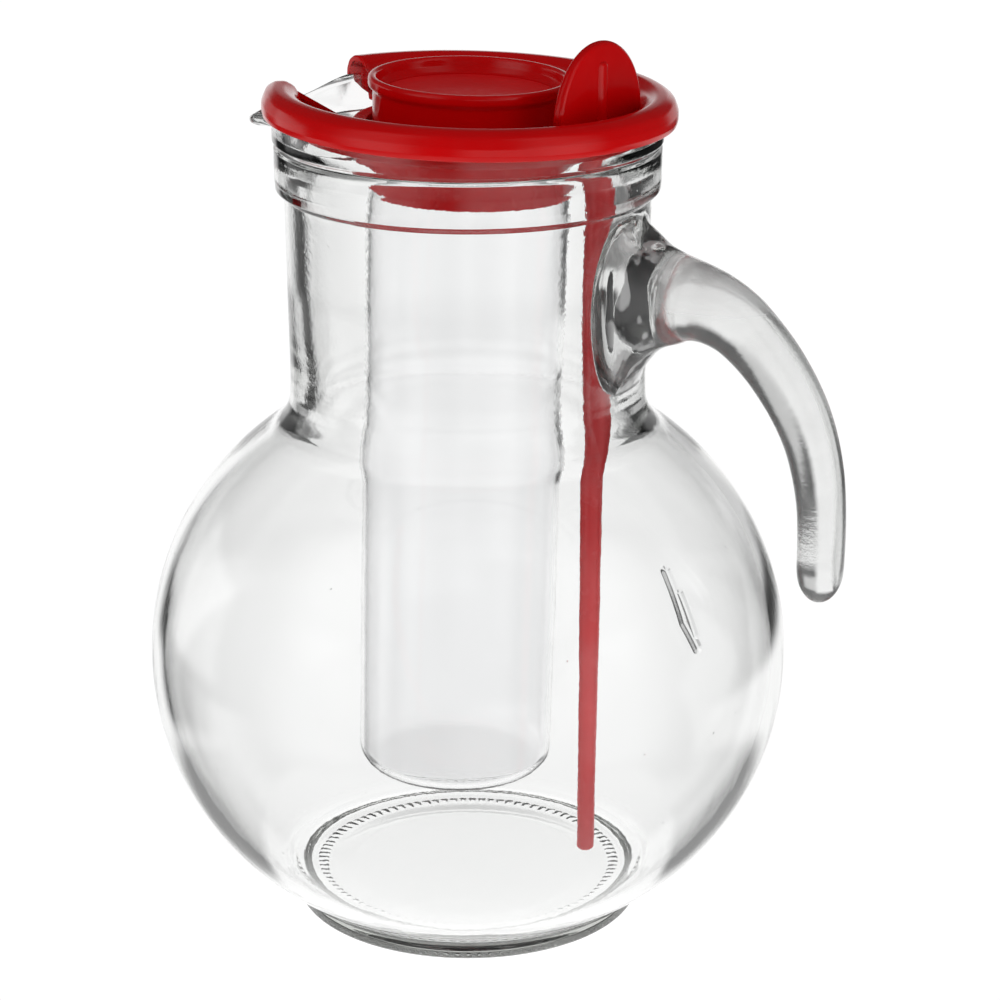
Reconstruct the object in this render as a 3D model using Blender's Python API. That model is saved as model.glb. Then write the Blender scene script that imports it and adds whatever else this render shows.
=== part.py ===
"""Round pressed-glass juice jug with a clip-over plastic lid, an ice tube with its stopper, and a stirrer.

Metres, +Z up. Origin at the middle of the foot, on the face it stands on.
+X points to the handle, -X to the pouring lip.
"""

import math

import bmesh
import bpy
from mathutils import Matrix, Vector

MM = 0.001

# Glass body, in millimetres.
BODY_R = 83.0
BODY_HALF_H = 76.7
BODY_MID_Z = 69.1
BODY_POWER = 2.03
BODY_WALL = 3.4
FOOT_R = 45.6
FOOT_H = 5.4
FLOOR_Z = 8.0
NECK_R_LOW = 45.4
NECK_R_HIGH = 46.2
NECK_BORE_LOW = 41.9
NECK_BORE_HIGH = 42.6
LEDGE_Z = 192.2
BAND_R = 48.6
GROOVE_Z = 204.4
RIM_R = 49.0
RIM_BORE = 44.6
RIM_Z = 214.2
BODY_TOP = 137.4
GLASS_GAP = 0.3

# Pouring lip.
LIP_HALF_ANGLE = 22.0
LIP_ROOT_Z = 198.5
LIP_PULL = (47.4, 205.6)
LIP_TIP = (62.9, 203.6)
LIP_THINNING = 0.28

# Handle centre line in the XZ plane: x, z, half thickness in the plane, half width across it.
HANDLE = (
    (49.4, 170.2, 18.5, 15.5),
    (52.6, 170.3, 14.3, 12.8),
    (57.0, 170.7, 11.9, 11.2),
    (62.6, 170.6, 10.0, 10.2),
    (68.1, 169.4, 9.0, 9.6),
    (73.8, 166.7, 8.3, 9.1),
    (78.6, 162.9, 7.8, 8.7),
    (83.4, 158.0, 7.5, 8.4),
    (88.0, 151.9, 7.2, 8.1),
    (91.5, 146.0, 6.9, 7.8),
    (94.4, 139.2, 6.5, 7.5),
    (96.5, 131.2, 6.2, 7.2),
    (97.6, 123.5, 5.9, 6.9),
    (98.0, 115.5, 5.8, 6.7),
    (98.0, 107.5, 5.7, 6.6),
)
HANDLE_TIP_Z = 98.6
HANDLE_ROOT_R = 43.9
HANDLE_ROOT_HALF = (24.0, 19.0)
HANDLE_SIDES = 20

# Lid, in its own upright frame: it sits leaning a little towards the handle.
LID_LEAN = 1.5
LID_PIVOT_Z = 214.0
LID_SHIFT_X = 0.6
LID_GAP_HALF = 23.5
LID_R = 51.9
LID_TOP_Z = 217.6
LID_SKIRT_Z = 209.6
LID_FLOOR_TOP = 209.0
LID_FLOOR_LOW = 207.0
FLANGE_R = 29.4
COLLAR_R = 27.3
COLLAR_BORE = 25.8
COLLAR_LOW = 194.5

# Ice tube, in the lid's frame.
TUBE_R = 25.5
TUBE_BORE = 23.9
TUBE_TOP = 206.4
TUBE_LOW = 36.0
TUBE_FLOOR = 38.0

# Stopper of the ice tube, in the lid's frame.
CAP_R = 25.5
CAP_WALL_R = 24.3
CAP_TOP = 220.7
CAP_DISC_Z = 216.6
CAP_SEAT_Z = 206.8
CAP_PLUG_R = 23.5
CAP_LOW = 201.6

# Stirrer, hanging upright.
STIR_X = 35.2
TAB_OFF = 0.6
STIR_TWIST = -8.0
STIR_LOW = 17.5
ROD_R_TOP = 3.3
ROD_R_LOW = 2.25
ROD_HOLE_R = 4.0
TAB_LOW = 208.4
TAB_MID_Z = 213.6
TAB_TOP = 232.2
TAB_HALF_W = 18.0
TAB_THICK = 2.8
RIB_R = 1.9
RIB_LOW = 212.5
RIB_TOP = 225.2

for old in list(bpy.data.objects):
    bpy.data.objects.remove(old, do_unlink=True)


def material(name, color, rough, transmission=0.0, ior=1.45):
    made = bpy.data.materials.new(name)
    made.use_nodes = True
    shader = made.node_tree.nodes["Principled BSDF"]
    shader.inputs["Base Color"].default_value = (*color, 1.0)
    shader.inputs["Roughness"].default_value = rough
    shader.inputs["Transmission Weight"].default_value = transmission
    shader.inputs["IOR"].default_value = ior
    return made


def add(name, points, faces, mat, origin=(0.0, 0.0, 0.0), helper=False):
    """A mesh object from points in millimetres, with its origin put at a point in millimetres."""
    at = Vector(origin)
    mesh = bpy.data.meshes.new(name)
    mesh.from_pydata([(Vector(p) - at) * MM for p in points], [], faces)
    mesh.validate()
    edit = bmesh.new()
    edit.from_mesh(mesh)
    bmesh.ops.recalc_face_normals(edit, faces=edit.faces)
    edit.to_mesh(mesh)
    edit.free()
    mesh.shade_smooth()
    obj = bpy.data.objects.new(name, mesh)
    obj.location = at * MM
    if mat:
        mesh.materials.append(mat)
    bpy.context.scene.collection.objects.link(obj)
    if helper:
        obj.hide_render = True
        obj.display_type = "WIRE"
    return obj


def boolean(obj, other, operation):
    step = obj.modifiers.new(operation.lower() + "_" + other.name, "BOOLEAN")
    step.operation = operation
    step.solver = "EXACT"
    step.object = other


def even_angles(count):
    return [360.0 * i / count for i in range(count)]


def revolve(profile, angles, place=None, closed_turn=True):
    """Points and faces of a profile of (r, z) turned about Z. A profile that ends on the axis is capped by a pole."""
    points, faces, rows = [], [], []
    for r, z in profile:
        if r == 0.0:
            rows.append([len(points)])
            points.append((0.0, 0.0, z) if place is None else place(0.0, z, 0.0))
            continue
        row = []
        for angle in angles:
            row.append(len(points))
            if place is None:
                turn = math.radians(angle)
                points.append((r * math.cos(turn), r * math.sin(turn), z))
            else:
                points.append(place(r, z, angle))
        rows.append(row)
    ring = not (len(rows[0]) == 1 and len(rows[-1]) == 1)
    pairs = list(zip(rows, rows[1:]))
    if ring:
        pairs.append((rows[-1], rows[0]))
    count = len(angles)
    for low, high in pairs:
        for i in range(count if closed_turn else count - 1):
            j = (i + 1) % count
            if len(low) == 1:
                faces.append((low[0], high[j], high[i]))
            elif len(high) == 1:
                faces.append((low[i], low[j], high[0]))
            else:
                faces.append((low[i], low[j], high[j], high[i]))
    if not closed_turn:
        faces.append([row[0] for row in rows])
        faces.append([row[-1] for row in reversed(rows)])
    return points, faces


def leaned(points):
    """Points of the lid's upright frame, where the lid really sits."""
    turn = Matrix.Rotation(math.radians(LID_LEAN), 3, "Y")
    pivot = Vector((0.0, 0.0, LID_PIVOT_Z))
    shift = Vector((LID_SHIFT_X, 0.0, 0.0))
    return [tuple(turn @ (Vector(p) - pivot) + pivot + shift) for p in points]


def oblate(half_r, half_h, start_deg, end_deg, count):
    """Points of the round body's wall between two latitudes."""
    found = []
    for i in range(count):
        s = math.sin(math.radians(start_deg + (end_deg - start_deg) * i / (count - 1)))
        r = half_r * (1.0 - abs(s) ** BODY_POWER) ** (1.0 / BODY_POWER)
        found.append((r, BODY_MID_Z + half_h * s))
    return found


def with_lip(r, z, angle):
    """A point of the jug's wall, pulled out into the pouring lip around -X."""
    off = abs((angle - 180.0 + 180.0) % 360.0 - 180.0)
    weight = math.cos(0.5 * math.pi * off / LIP_HALF_ANGLE) ** 2 if off < LIP_HALF_ANGLE else 0.0
    if z > LIP_ROOT_Z and weight > 0.0:
        t = (z - LIP_ROOT_Z) / (RIM_Z - LIP_ROOT_Z)
        mid = 0.5 * (RIM_R + RIM_BORE)
        a, b, c = (1 - t) ** 2, 2 * t * (1 - t), t * t
        cr = a * mid + b * LIP_PULL[0] + c * LIP_TIP[0]
        cz = a * LIP_ROOT_Z + b * LIP_PULL[1] + c * LIP_TIP[1]
        dr = 2 * (1 - t) * (LIP_PULL[0] - mid) + 2 * t * (LIP_TIP[0] - LIP_PULL[0])
        dz = 2 * (1 - t) * (LIP_PULL[1] - LIP_ROOT_Z) + 2 * t * (LIP_TIP[1] - LIP_PULL[1])
        long = math.hypot(dr, dz)
        out = (r - mid) * (1.0 - LIP_THINNING * t)
        tr, tz = cr + out * dz / long, cz - out * dr / long
        r, z = r + weight * (tr - r), z + weight * (tz - z)
    turn = math.radians(angle)
    return (r * math.cos(turn), r * math.sin(turn), z)


def rounded_tube(path, normal_of, sides):
    """Rings of an elliptical sweep in the XZ plane: path rows are x, z, half thickness, half width."""
    rings = []
    for i, (x, z, half_in, half_out) in enumerate(path):
        nx, nz = normal_of(i)
        ring = []
        for k in range(sides):
            turn = 2.0 * math.pi * k / sides
            a, b = half_in * math.cos(turn), half_out * math.sin(turn)
            ring.append((x + a * nx, b, z + a * nz))
        rings.append(ring)
    return rings


def skin(rings, first, last):
    """Points and faces over rings of equal length, closed by a point at each end."""
    sides = len(rings[0])
    points = [p for ring in rings for p in ring]
    faces = []
    for i in range(len(rings) - 1):
        for k in range(sides):
            j = (k + 1) % sides
            faces.append((i * sides + k, i * sides + j, (i + 1) * sides + j, (i + 1) * sides + k))
    points += [first, last]
    end = (len(rings) - 1) * sides
    for k in range(sides):
        j = (k + 1) % sides
        faces.append((j, k, len(points) - 2))
        faces.append((end + k, end + j, len(points) - 1))
    return points, faces


glass = material("glass", (0.93, 0.96, 0.94), 0.02, 1.0, 1.51)
clear = material("clear_plastic", (0.93, 0.93, 0.94), 0.05, 1.0, 1.57)
red = material("red_plastic", (0.45, 0.008, 0.010), 0.22)
red_cap = material("red_plastic_cap", (0.42, 0.008, 0.010), 0.25)
red_stir = material("red_plastic_stirrer", (0.45, 0.010, 0.012), 0.22)

# The glass: one piece in life, drawn as bowl, shoulder, neck and handle, a hair apart, so that each stays simple around its hollow.
turn_angles = [a for a in even_angles(48) if abs(a - 180.0) > 25.0]
turn_angles += [180.0 + 3.1 * i for i in range(-7, 8)]
turn_angles.sort()
out_cut = math.degrees(math.asin(0.5 * GLASS_GAP / BODY_HALF_H))
in_cut = math.degrees(math.asin(0.5 * GLASS_GAP / (BODY_HALF_H - BODY_WALL)))
bowl_profile = [(0.0, 0.0), (22.0, 0.0), (FOOT_R - 1.0, 0.0), (FOOT_R, 1.0), (FOOT_R, FOOT_H - 1.2), (FOOT_R + 1.0, FOOT_H)]
bowl_profile += oblate(BODY_R, BODY_HALF_H, -54.6, -out_cut, 7)
bowl_profile += oblate(BODY_R - BODY_WALL, BODY_HALF_H - BODY_WALL, -in_cut, -54.2, 6)
bowl_profile += [(44.6, FLOOR_Z + 0.4), (41.0, FLOOR_Z), (20.0, FLOOR_Z), (0.0, FLOOR_Z)]
glass_bowl = add("glass_bowl", *revolve(bowl_profile, turn_angles), glass)
shoulder_profile = oblate(BODY_R, BODY_HALF_H, out_cut, 54.0, 7)
shoulder_profile += [(46.9, 134.4), (45.8, BODY_TOP), (42.3, BODY_TOP), (42.5, 135.8)]
shoulder_profile += oblate(BODY_R - BODY_WALL, BODY_HALF_H - BODY_WALL, 55.4, in_cut, 6)
glass_shoulder = add("glass_shoulder", *revolve(shoulder_profile, turn_angles), glass)
neck_profile = [
    (45.77, BODY_TOP + GLASS_GAP),
    (NECK_R_LOW, 142.0),
    (45.8, 167.0),
    (NECK_R_HIGH, LEDGE_Z - 1.0),
    (47.6, LEDGE_Z),
    (BAND_R, LEDGE_Z + 1.8),
    (BAND_R, LIP_ROOT_Z),
    (BAND_R, GROOVE_Z - 1.0),
    (BAND_R - 0.5, GROOVE_Z),
    (RIM_R, GROOVE_Z + 1.0),
    (RIM_R, 208.6),
    (RIM_R, RIM_Z - 2.0),
    (RIM_R - 0.7, RIM_Z - 0.6),
    (RIM_R - 2.0, RIM_Z),
    (RIM_BORE + 1.3, RIM_Z),
    (RIM_BORE + 0.3, RIM_Z - 0.7),
    (RIM_BORE, RIM_Z - 2.0),
    (RIM_BORE, 208.6),
    (RIM_BORE, 204.6),
    (RIM_BORE, 201.2),
    (RIM_BORE - 0.1, LIP_ROOT_Z),
    (RIM_BORE - 0.6, 195.5),
    (NECK_BORE_HIGH, 190.0),
    (42.2, 167.0),
    (NECK_BORE_LOW, 141.0),
    (42.28, BODY_TOP + GLASS_GAP),
]
glass_neck = add("glass_neck", *revolve(neck_profile, turn_angles, with_lip), glass)


def handle_normal(i):
    before, after = HANDLE[max(i - 1, 0)], HANDLE[min(i + 1, len(HANDLE) - 1)]
    tx, tz = after[0] - before[0], after[1] - before[1]
    long = math.hypot(tx, tz)
    return -tz / long, tx / long


handle_rings = rounded_tube(HANDLE, handle_normal, HANDLE_SIDES)
root = []
for k in range(HANDLE_SIDES):
    turn = 2.0 * math.pi * k / HANDLE_SIDES
    y = HANDLE_ROOT_HALF[1] * math.sin(turn)
    root.append((math.sqrt(HANDLE_ROOT_R**2 - y * y), y, HANDLE[0][1] - 2.0 + HANDLE_ROOT_HALF[0] * math.cos(turn)))
end_x, end_z, end_in, end_out = HANDLE[-1]
tip_rings = []
for step in (30.0, 55.0, 75.0):
    turn = math.radians(step)
    drop = (end_z - HANDLE_TIP_Z) * math.sin(turn)
    tip_rings.append(
        [
            (
                end_x + end_in * math.cos(turn) * math.cos(2.0 * math.pi * k / HANDLE_SIDES),
                end_out * math.cos(turn) * math.sin(2.0 * math.pi * k / HANDLE_SIDES),
                end_z - drop,
            )
            for k in range(HANDLE_SIDES)
        ]
    )
glass_handle = add(
    "glass_handle",
    *skin([root] + handle_rings + tip_rings, (HANDLE_ROOT_R, 0.0, HANDLE[0][1] - 2.0), (end_x, 0.0, HANDLE_TIP_Z)),
    glass,
)
neck_room = [(0.0, 138.5), (46.1, 138.5), (NECK_R_LOW + 0.35, 142.0), (46.15, 167.0), (NECK_R_HIGH + 0.35, 191.2), (NECK_R_HIGH + 0.35, 196.0), (0.0, 196.0)]
neck_shape = add("neck_shape", *revolve(neck_room, turn_angles), glass, helper=True)
boolean(glass_handle, neck_shape, "DIFFERENCE")

# The lid: a rounded rim over the glass, an inner wall, and a floor, all open at the pouring lip.
lid_section = [
    (50.0, LID_SKIRT_Z + 0.2),
    (51.2, LID_SKIRT_Z),
    (LID_R, LID_SKIRT_Z + 1.4),
    (LID_R, 213.0),
    (51.3, 215.2),
    (49.8, 216.9),
    (47.4, LID_TOP_Z),
    (45.2, 217.2),
    (43.5, 215.9),
    (42.5, 214.0),
    (42.0, 211.8),
    (41.4, LID_FLOOR_TOP),
    (28.6, LID_FLOOR_TOP),
    (28.6, LID_FLOOR_LOW),
    (42.2, LID_FLOOR_LOW),
    (43.2, 211.0),
    (43.7, 213.5),
    (44.4, 215.2),
    (46.8, 215.9),
    (48.7, 215.4),
    (49.8, 214.0),
]
lid_angles = [-180.0 + LID_GAP_HALF + (360.0 - 2.0 * LID_GAP_HALF) * i / 46 for i in range(47)]
lid_at = leaned([(0.0, 0.0, LID_FLOOR_TOP)])[0]
points, faces = revolve(lid_section, lid_angles, closed_turn=False)
lid = add("lid", leaned(points), faces, red, lid_at)
collar_section = [
    (COLLAR_BORE, LID_FLOOR_TOP + 0.2),
    (COLLAR_BORE, COLLAR_LOW),
    (COLLAR_R, COLLAR_LOW),
    (COLLAR_R, LID_FLOOR_LOW - 0.2),
    (FLANGE_R, LID_FLOOR_LOW - 0.2),
    (FLANGE_R, LID_FLOOR_TOP + 0.2),
]
points, faces = revolve(collar_section, even_angles(48))
collar_shape = add("collar_shape", leaned(points), faces, red, helper=True)
boolean(lid, collar_shape, "UNION")
points, faces = revolve([(0.0, 203.0), (ROD_HOLE_R, 203.0), (ROD_HOLE_R, 213.0), (0.0, 213.0)], even_angles(24))
rod_hole = add("rod_hole", [(x + STIR_X, y, z) for x, y, z in points], faces, red, helper=True)
boolean(lid, rod_hole, "DIFFERENCE")

# The ice tube, closed below, held in the lid's collar.
tube_profile = [
    (0.0, TUBE_LOW),
    (TUBE_R - 4.6, TUBE_LOW),
    (TUBE_R - 2.0, TUBE_LOW + 0.8),
    (TUBE_R - 0.5, TUBE_LOW + 2.5),
    (TUBE_R, TUBE_LOW + 5.0),
    (TUBE_R, 120.0),
    (TUBE_R, TUBE_TOP),
    (TUBE_BORE, TUBE_TOP),
    (TUBE_BORE, 120.0),
    (TUBE_BORE, TUBE_FLOOR + 3.4),
    (TUBE_BORE - 1.0, TUBE_FLOOR + 1.0),
    (TUBE_BORE - 3.4, TUBE_FLOOR),
    (0.0, TUBE_FLOOR),
]
tube_at = leaned([(0.0, 0.0, TUBE_TOP)])[0]
points, faces = revolve(tube_profile, even_angles(44))
ice_tube = add("ice_tube", leaned(points), faces, clear, tube_at)

# The stopper: a hollow cup with a rolled lip above and a plug below.
cap_profile = [
    (0.0, CAP_LOW + 12.1),
    (21.4, CAP_LOW + 12.1),
    (22.4, CAP_LOW + 11.0),
    (22.4, CAP_LOW),
    (CAP_PLUG_R, CAP_LOW),
    (CAP_PLUG_R, CAP_SEAT_Z),
    (CAP_WALL_R, CAP_SEAT_Z),
    (CAP_WALL_R, 217.4),
    (25.3, 218.5),
    (CAP_R, 219.4),
    (25.4, 220.2),
    (24.6, CAP_TOP),
    (23.8, 220.2),
    (23.3, 218.8),
    (22.8, 217.3),
    (21.6, CAP_DISC_Z),
    (0.0, CAP_DISC_Z),
]
cap_at = leaned([(0.0, 0.0, CAP_SEAT_Z)])[0]
points, faces = revolve(cap_profile, even_angles(44))
tube_cap = add("tube_cap", leaned(points), faces, red_cap, cap_at)

# The stirrer: an upright thumb tab, rounded on top, and a slim tapered rod through the lid's floor.
twist = math.radians(STIR_TWIST)
along = Vector((-math.sin(twist), math.cos(twist), 0.0))
out_of = Vector((math.cos(twist), math.sin(twist), 0.0))
stir_at = (STIR_X, 0.0, TAB_LOW)


def tab_outline(inset):
    """Points (u, z) of the tab's edge, drawn in by inset."""
    found = []
    for i in range(17):
        turn = math.radians(180.0 * i / 16)
        found.append(((TAB_HALF_W - inset) * math.cos(turn), TAB_MID_Z + (TAB_TOP - TAB_MID_Z - inset) * math.sin(turn)))
    left = [(-(TAB_HALF_W - inset) + 1.9, 210.5), (-12.5, TAB_LOW + 0.3 * inset)]
    return found + left + [(-u, z) for u, z in reversed(left)]


rings = []
for inset, off in ((1.4, -1.0), (0.41, -0.71), (0.0, 0.0), (0.41, 0.71), (1.4, 1.0)):
    side = 0.5 * TAB_THICK * off
    rings.append([tuple(Vector((STIR_X, 0.0, z)) + along * u + out_of * (TAB_OFF + side)) for u, z in tab_outline(inset)])
sides = len(rings[0])
points = [p for ring in rings for p in ring]
faces = [
    (i * sides + k, i * sides + (k + 1) % sides, (i + 1) * sides + (k + 1) % sides, (i + 1) * sides + k)
    for i in range(len(rings) - 1)
    for k in range(sides)
]
faces.append(list(range(sides)))
faces.append([(len(rings) - 1) * sides + k for k in reversed(range(sides))])
stirrer = add("stirrer", points, faces, red_stir, stir_at)
rod_profile = [
    (0.0, STIR_LOW),
    (ROD_R_LOW - 0.5, STIR_LOW),
    (ROD_R_LOW, STIR_LOW + 0.7),
    (ROD_R_TOP, TAB_LOW - 4.0),
    (ROD_R_TOP, TAB_LOW + 1.6),
    (1.0, TAB_LOW + 6.0),
    (0.0, TAB_LOW + 6.3),
]
points, faces = revolve(rod_profile, even_angles(20))
rod_shape = add("rod_shape", [(x + STIR_X, y, z) for x, y, z in points], faces, red_stir, helper=True)
rib_profile = [
    (0.0, RIB_LOW - RIB_R),
    (1.35, RIB_LOW - 1.35),
    (RIB_R, RIB_LOW),
    (RIB_R, RIB_TOP),
    (1.35, RIB_TOP + 1.35),
    (0.0, RIB_TOP + RIB_R),
]
points, faces = revolve(rib_profile, even_angles(16))
rib_shape = add(
    "rib_shape", [tuple(Vector(p) + Vector((STIR_X, 0.0, 0.0)) + out_of * (TAB_OFF + 0.9)) for p in points], faces, red_stir, helper=True
)
boolean(stirrer, rod_shape, "UNION")
boolean(stirrer, rib_shape, "UNION")
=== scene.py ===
"""Looks for the juice jug: fine meshes, materials, a plain bright studio and the camera.

Lengths are worked out in millimetres and stored in metres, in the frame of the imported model.
"""

import math

import bmesh
import bpy
import numpy as np
from mathutils import Matrix, Vector


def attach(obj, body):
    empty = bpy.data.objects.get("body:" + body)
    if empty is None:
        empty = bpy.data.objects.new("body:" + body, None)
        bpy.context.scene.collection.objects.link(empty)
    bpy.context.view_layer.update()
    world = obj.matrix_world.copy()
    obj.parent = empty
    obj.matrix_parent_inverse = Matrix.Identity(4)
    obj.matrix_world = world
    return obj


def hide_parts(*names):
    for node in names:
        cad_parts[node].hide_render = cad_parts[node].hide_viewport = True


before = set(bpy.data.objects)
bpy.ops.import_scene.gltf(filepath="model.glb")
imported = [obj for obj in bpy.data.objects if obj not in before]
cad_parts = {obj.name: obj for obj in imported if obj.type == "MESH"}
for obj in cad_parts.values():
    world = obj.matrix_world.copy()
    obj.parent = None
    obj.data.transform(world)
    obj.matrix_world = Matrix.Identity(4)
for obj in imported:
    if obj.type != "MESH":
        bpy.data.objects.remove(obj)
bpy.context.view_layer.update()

MM = 0.001
CAM_AZ = 28.0


# ---------------------------------------------------------------- mesh helpers


def rounded(corners, step=2.0, arc=5):
    """A polyline of (r, z[, radius]) with its corners rounded and its straight runs divided."""
    pts = [(c[0], c[1], c[2] if len(c) > 2 else 0.0) for c in corners]
    out = [np.array(pts[0][:2])]
    for i in range(1, len(pts) - 1):
        a, b, c = (np.array(p[:2], float) for p in pts[i - 1 : i + 2])
        rad = pts[i][2]
        u, w = a - b, c - b
        lu, lw = np.linalg.norm(u), np.linalg.norm(w)
        u, w = u / lu, w / lw
        cosang = float(np.clip(np.dot(u, w), -1.0, 1.0))
        half = 0.5 * math.acos(cosang)
        if rad <= 0.0 or half > 1.565:
            out.append(b)
            continue
        back = min(rad / math.tan(half), 0.49 * lu, 0.49 * lw)
        r = back * math.tan(half)
        mid = b + (u + w) / np.linalg.norm(u + w) * r / math.sin(half)
        p0, p1 = b + u * back, b + w * back
        a0 = math.atan2(*(p0 - mid)[::-1])
        a1 = math.atan2(*(p1 - mid)[::-1])
        turn = (a1 - a0 + math.pi) % (2 * math.pi) - math.pi
        n = max(2, int(arc * abs(turn) / (0.5 * math.pi) + 1.5))
        for k in range(n + 1):
            t = a0 + turn * k / n
            out.append(mid + r * np.array((math.cos(t), math.sin(t))))
    out.append(np.array(pts[-1][:2]))
    dense = [out[0]]
    for p in out[1:]:
        q = dense[-1]
        gap = np.linalg.norm(p - q)
        if gap < 1e-6:
            continue
        n = max(1, int(math.ceil(gap / step)))
        for k in range(1, n + 1):
            dense.append(q + (p - q) * k / n)
    return [(float(p[0]), float(p[1])) for p in dense]


def through(points, per):
    """A smooth curve through points of any dimension, by centripetal Catmull-Rom."""
    pts = [np.array(p, float) for p in points]
    pts = [2 * pts[0] - pts[1]] + pts + [2 * pts[-1] - pts[-2]]
    out = []
    for i in range(1, len(pts) - 2):
        p0, p1, p2, p3 = pts[i - 1 : i + 3]
        t0 = 0.0
        t1 = t0 + np.linalg.norm((p1 - p0)[:2]) ** 0.5
        t2 = t1 + np.linalg.norm((p2 - p1)[:2]) ** 0.5
        t3 = t2 + np.linalg.norm((p3 - p2)[:2]) ** 0.5
        for k in range(per):
            t = t1 + (t2 - t1) * k / per
            a1 = (t1 - t) / (t1 - t0) * p0 + (t - t0) / (t1 - t0) * p1
            a2 = (t2 - t) / (t2 - t1) * p1 + (t - t1) / (t2 - t1) * p2
            a3 = (t3 - t) / (t3 - t2) * p2 + (t - t2) / (t3 - t2) * p3
            b1 = (t2 - t) / (t2 - t0) * a1 + (t - t0) / (t2 - t0) * a2
            b2 = (t3 - t) / (t3 - t1) * a2 + (t - t1) / (t3 - t1) * a3
            out.append((t2 - t) / (t2 - t1) * b1 + (t - t1) / (t2 - t1) * b2)
    out.append(pts[-2])
    return out


def make(name, points, faces, mats, picks=None):
    """A smooth mesh object from points in millimetres. picks gives each face's material."""
    mesh = bpy.data.meshes.new(name)
    mesh.from_pydata([(p[0] * MM, p[1] * MM, p[2] * MM) for p in points], [], faces)
    if picks is not None:
        mesh.polygons.foreach_set("material_index", picks)
    edit = bmesh.new()
    edit.from_mesh(mesh)
    bmesh.ops.recalc_face_normals(edit, faces=edit.faces)
    bmesh.ops.delete(edit, geom=[v for v in edit.verts if not v.link_faces], context="VERTS")
    edit.to_mesh(mesh)
    edit.free()
    mesh.shade_smooth()
    for m in mats:
        mesh.materials.append(m)
    obj = bpy.data.objects.new(name, mesh)
    bpy.context.scene.collection.objects.link(obj)
    return obj


def lathe(profile, count, place=None):
    """Points and faces of a (r, z) profile turned about Z. Ends on the axis become poles, and other profiles close on themselves."""
    points, faces, rows = [], [], []
    for r, z in profile:
        if r < 1e-6:
            rows.append([len(points)])
            points.append((0.0, 0.0, z))
        else:
            rows.append(list(range(len(points), len(points) + count)))
            for i in range(count):
                t = 2 * math.pi * i / count
                points.append((r * math.cos(t), r * math.sin(t), z))
    pairs = list(zip(rows, rows[1:]))
    if len(rows[0]) > 1 and len(rows[-1]) > 1:
        pairs.append((rows[-1], rows[0]))
    for low, high in pairs:
        for i in range(count):
            j = (i + 1) % count
            if len(low) == 1:
                faces.append((low[0], high[j], high[i]))
            elif len(high) == 1:
                faces.append((low[i], low[j], high[0]))
            else:
                faces.append((low[i], low[j], high[j], high[i]))
    return points, faces


LEAN = Matrix.Rotation(math.radians(1.5), 3, "Y")
LEAN_AT = Vector((0.0, 0.0, 214.0))


def leaned(points):
    """Points of the lid's upright frame, where the lid really sits."""
    return [tuple(LEAN @ (Vector(p) - LEAN_AT) + LEAN_AT + Vector((0.6, 0.0, 0.0))) for p in points]


# ---------------------------------------------------------------- materials


def node_material(name):
    made = bpy.data.materials.new(name)
    made.use_nodes = True
    tree = made.node_tree
    return made, tree, tree.nodes["Principled BSDF"]


def add_node(tree, kind, **values):
    node = tree.nodes.new(kind)
    for key, value in values.items():
        if key.startswith("in_"):
            node.inputs[key[3:].replace("_", " ")].default_value = value
        else:
            setattr(node, key, value)
    return node


def noise(tree, where, scale, detail=2.0, rough=0.5):
    node = add_node(tree, "ShaderNodeTexNoise", in_Scale=scale, in_Detail=detail, in_Roughness=rough)
    tree.links.new(where, node.inputs["Vector"])
    return node.outputs["Fac"]


def spread(tree, value, low, high, out_low, out_high, smooth=False):
    node = add_node(tree, "ShaderNodeMapRange", clamp=True)
    if smooth:
        node.interpolation_type = "SMOOTHSTEP"
    for key, v in (("From Min", low), ("From Max", high), ("To Min", out_low), ("To Max", out_high)):
        node.inputs[key].default_value = v
    tree.links.new(value, node.inputs["Value"])
    return node.outputs["Result"]


def bumps(tree, shader, layers):
    """Stacks bump layers of (height socket, distance in metres) on the shader."""
    last = None
    for height, distance in layers:
        node = add_node(tree, "ShaderNodeBump", in_Strength=1.0, in_Distance=distance)
        tree.links.new(height, node.inputs["Height"])
        if last is not None:
            tree.links.new(last, node.inputs["Normal"])
        last = node.outputs["Normal"]
    tree.links.new(last, shader.inputs["Normal"])


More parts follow.
